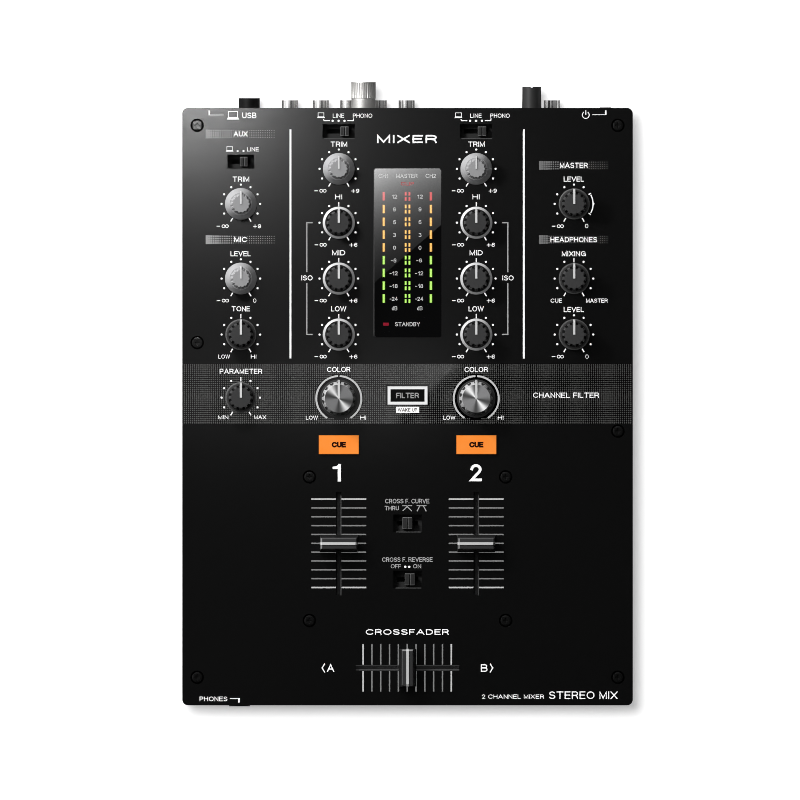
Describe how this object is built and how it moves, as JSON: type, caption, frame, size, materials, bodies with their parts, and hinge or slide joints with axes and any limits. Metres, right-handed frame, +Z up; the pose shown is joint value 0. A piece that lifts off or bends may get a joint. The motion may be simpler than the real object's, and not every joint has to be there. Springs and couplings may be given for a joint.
{
  "type": "dj mixer",
  "caption": "Desktop two-channel audio mixer with rotary equaliser controls, level meter, cue buttons, channel faders and a crossfader.",
  "frame": {"origin": "bottom centre of the whole object's bounding box, at table height under the feet", "axes": "+Z up, +Y from the front edge to the rear connectors, +X to the user's right"},
  "size_m": [0.23, 0.3186, 0.1079],
  "materials": {
    "panel_black": "satin black paint with a fine grain",
    "case_black": "textured black powder coat",
    "moulding_black": "fine-textured black plastic",
    "window_smoked": "polished smoked acrylic",
    "plastic_black": "moulded black plastic",
    "led_guide": "lit light guides, red, amber and yellow-green",
    "board_green": "solder-masked circuit board",
    "steel_plated": "zinc-plated steel",
    "felt_grey": "dark grey felt",
    "nickel_plated": "nickel-plated metal",
    "supply_parts": "power supply parts on their board",
    "rubber_black": "matt black rubber",
    "screw_black": "black-oxide steel",
    "ribbon_grey": "grey ribbon cable",
    "knob_silver": "satin silver-grey paint",
    "knob_spun": "spun aluminium cap",
    "knob_black": "soft-touch black",
    "fader_cap_grey": "moulded dark grey plastic",
    "switch_knob_black": "moulded black plastic",
    "button_orange": "lit translucent orange plastic",
    "button_white": "lit white frame around a black insert"
  },
  "bodies": {
    "chassis": {"top_panel": "panel_black", "base_tray": "case_black", "front_panel": "moulding_black", "rear_panel": "case_black", "meter_window": "window_smoked", "meter_baffle": "plastic_black", "meter_leds": "led_guide", "control_board": "board_green", "pot_bodies": "steel_plated", "slide_switch_bodies": "plastic_black", "push_switches": "plastic_black", "channel_fader_frames": "steel_plated", "crossfader_frame": "steel_plated", "fader_bracket": "steel_plated", "fader_dust_felts": "felt_grey", "main_board": "board_green", "rca_jacks": "nickel_plated", "xlr_outputs": "plastic_black", "quarter_inch_jacks": "plastic_black", "usb_port": "nickel_plated", "power_supply": "supply_parts", "ac_inlet": "plastic_black", "power_switch_body": "plastic_black", "feet": "rubber_black", "screws": "screw_black", "ribbon_cables": "ribbon_grey"},
    "aux_trim_knob": {"aux_trim_knob": "knob_silver"},
    "mic_level_knob": {"mic_level_knob": "knob_silver"},
    "mic_tone_knob": {"mic_tone_knob": "knob_black"},
    "parameter_knob": {"parameter_knob": "knob_black"},
    "ch1_trim_knob": {"ch1_trim_knob": "knob_silver"},
    "ch1_hi_knob": {"ch1_hi_knob": "knob_black"},
    "ch1_mid_knob": {"ch1_mid_knob": "knob_black"},
    "ch1_low_knob": {"ch1_low_knob": "knob_black"},
    "ch1_color_knob": {"ch1_color_knob": "knob_spun"},
    "ch2_trim_knob": {"ch2_trim_knob": "knob_silver"},
    "ch2_hi_knob": {"ch2_hi_knob": "knob_black"},
    "ch2_mid_knob": {"ch2_mid_knob": "knob_black"},
    "ch2_low_knob": {"ch2_low_knob": "knob_black"},
    "ch2_color_knob": {"ch2_color_knob": "knob_spun"},
    "master_level_knob": {"master_level_knob": "knob_black"},
    "phones_mix_knob": {"phones_mix_knob": "knob_black"},
    "phones_level_knob": {"phones_level_knob": "knob_black"},
    "rear_attenuator_knob": {"rear_attenuator_knob": "knob_black"},
    "ch1_fader": {"ch1_fader_cap": "fader_cap_grey", "ch1_fader_lever": "steel_plated"},
    "ch2_fader": {"ch2_fader_cap": "fader_cap_grey", "ch2_fader_lever": "steel_plated"},
    "crossfader": {"crossfader_cap": "fader_cap_grey", "crossfader_lever": "steel_plated"},
    "aux_input_switch": {"aux_input_switch": "switch_knob_black"},
    "ch1_input_switch": {"ch1_input_switch": "switch_knob_black"},
    "ch2_input_switch": {"ch2_input_switch": "switch_knob_black"},
    "curve_switch": {"curve_switch": "switch_knob_black"},
    "reverse_switch": {"reverse_switch": "switch_knob_black"},
    "ch1_cue_button": {"ch1_cue_button": "button_orange"},
    "ch2_cue_button": {"ch2_cue_button": "button_orange"},
    "filter_button": {"filter_button": "button_white"},
    "power_button": {"power_button": "switch_knob_black"},
    "ground_terminal_screw": {"ground_terminal_screw": "nickel_plated"}
  },
  "joints": [
    {"name": "aux_trim_turn", "type": "hinge", "parent": "chassis", "child": "aux_trim_knob", "pos_m": [-0.0851, 0.09715, 0.095], "axis": [0, 0, -1], "range_deg": [-150, 150]},
    {"name": "mic_level_turn", "type": "hinge", "parent": "chassis", "child": "mic_level_knob", "pos_m": [-0.0851, 0.05905, 0.095], "axis": [0, 0, -1], "range_deg": [-150, 150]},
    {"name": "mic_tone_turn", "type": "hinge", "parent": "chassis", "child": "mic_tone_knob", "pos_m": [-0.0851, 0.03045, 0.095], "axis": [0, 0, -1], "range_deg": [-150, 150]},
    {"name": "parameter_turn", "type": "hinge", "parent": "chassis", "child": "parameter_knob", "pos_m": [-0.0851, -0.00175, 0.095], "axis": [0, 0, -1], "range_deg": [-150, 150]},
    {"name": "ch1_trim_turn", "type": "hinge", "parent": "chassis", "child": "ch1_trim_knob", "pos_m": [-0.0351, 0.11505, 0.095], "axis": [0, 0, -1], "range_deg": [-150, 150]},
    {"name": "ch1_hi_turn", "type": "hinge", "parent": "chassis", "child": "ch1_hi_knob", "pos_m": [-0.0351, 0.08755, 0.095], "axis": [0, 0, -1], "range_deg": [-150, 150]},
    {"name": "ch1_mid_turn", "type": "hinge", "parent": "chassis", "child": "ch1_mid_knob", "pos_m": [-0.0351, 0.05905, 0.095], "axis": [0, 0, -1], "range_deg": [-150, 150]},
    {"name": "ch1_low_turn", "type": "hinge", "parent": "chassis", "child": "ch1_low_knob", "pos_m": [-0.0351, 0.03045, 0.095], "axis": [0, 0, -1], "range_deg": [-150, 150]},
    {"name": "ch1_color_turn", "type": "hinge", "parent": "chassis", "child": "ch1_color_knob", "pos_m": [-0.0351, -0.00225, 0.095], "axis": [0, 0, -1], "range_deg": [-150, 150]},
    {"name": "ch2_trim_turn", "type": "hinge", "parent": "chassis", "child": "ch2_trim_knob", "pos_m": [0.0351, 0.11505, 0.095], "axis": [0, 0, -1], "range_deg": [-150, 150]},
    {"name": "ch2_hi_turn", "type": "hinge", "parent": "chassis", "child": "ch2_hi_knob", "pos_m": [0.0351, 0.08755, 0.095], "axis": [0, 0, -1], "range_deg": [-150, 150]},
    {"name": "ch2_mid_turn", "type": "hinge", "parent": "chassis", "child": "ch2_mid_knob", "pos_m": [0.0351, 0.05905, 0.095], "axis": [0, 0, -1], "range_deg": [-150, 150]},
    {"name": "ch2_low_turn", "type": "hinge", "parent": "chassis", "child": "ch2_low_knob", "pos_m": [0.0351, 0.03045, 0.095], "axis": [0, 0, -1], "range_deg": [-150, 150]},
    {"name": "ch2_color_turn", "type": "hinge", "parent": "chassis", "child": "ch2_color_knob", "pos_m": [0.0351, -0.00225, 0.095], "axis": [0, 0, -1], "range_deg": [-150, 150]},
    {"name": "master_level_turn", "type": "hinge", "parent": "chassis", "child": "master_level_knob", "pos_m": [0.0851, 0.09715, 0.095], "axis": [0, 0, -1], "range_deg": [-150, 150]},
    {"name": "phones_mix_turn", "type": "hinge", "parent": "chassis", "child": "phones_mix_knob", "pos_m": [0.0851, 0.05905, 0.095], "axis": [0, 0, -1], "range_deg": [-150, 150]},
    {"name": "phones_level_turn", "type": "hinge", "parent": "chassis", "child": "phones_level_knob", "pos_m": [0.0851, 0.03045, 0.095], "axis": [0, 0, -1], "range_deg": [-150, 150]},
    {"name": "rear_attenuator_turn", "type": "hinge", "parent": "chassis", "child": "rear_attenuator_knob", "pos_m": [0.0634, 0.14065, 0.066], "axis": [0, -1, 0], "range_deg": [-150, 150]},
    {"name": "ch1_fader_slide", "type": "slide", "parent": "chassis", "child": "ch1_fader", "axis": [0, 1, 0], "range_m": [-0.0225, 0.0225]},
    {"name": "ch2_fader_slide", "type": "slide", "parent": "chassis", "child": "ch2_fader", "axis": [0, 1, 0], "range_m": [-0.0225, 0.0225]},
    {"name": "crossfader_slide", "type": "slide", "parent": "chassis", "child": "crossfader", "axis": [1, 0, 0], "range_m": [-0.0225, 0.0225]},
    {"name": "aux_input_switch_slide", "type": "slide", "parent": "chassis", "child": "aux_input_switch", "axis": [1, 0, 0], "range_m": [-0.003, 0]},
    {"name": "ch1_input_switch_slide", "type": "slide", "parent": "chassis", "child": "ch1_input_switch", "axis": [1, 0, 0], "range_m": [-0.00606, 0]},
    {"name": "ch2_input_switch_slide", "type": "slide", "parent": "chassis", "child": "ch2_input_switch", "axis": [1, 0, 0], "range_m": [-0.00606, 0]},
    {"name": "curve_switch_slide", "type": "slide", "parent": "chassis", "child": "curve_switch", "axis": [1, 0, 0], "range_m": [-0.0022, 0.0022]},
    {"name": "reverse_switch_slide", "type": "slide", "parent": "chassis", "child": "reverse_switch", "axis": [1, 0, 0], "range_m": [-0.0023, 0]},
    {"name": "ch1_cue_button_press", "type": "slide", "parent": "chassis", "child": "ch1_cue_button", "axis": [0, 0, -1], "range_m": [0, 0.0006], "stiffness_N_per_m": 900},
    {"name": "ch2_cue_button_press", "type": "slide", "parent": "chassis", "child": "ch2_cue_button", "axis": [0, 0, -1], "range_m": [0, 0.0006], "stiffness_N_per_m": 900},
    {"name": "filter_button_press", "type": "slide", "parent": "chassis", "child": "filter_button", "axis": [0, 0, -1], "range_m": [0, 0.0006], "stiffness_N_per_m": 900},
    {"name": "power_button_press", "type": "slide", "parent": "chassis", "child": "power_button", "axis": [0, -1, 0], "range_m": [0, 0.0025]},
    {"name": "ground_terminal_turn", "type": "hinge", "parent": "chassis", "child": "ground_terminal_screw", "pos_m": [-0.0225, 0.14065, 0.069], "axis": [0, 1, 0], "range_deg": [0, 360]}
  ]
}
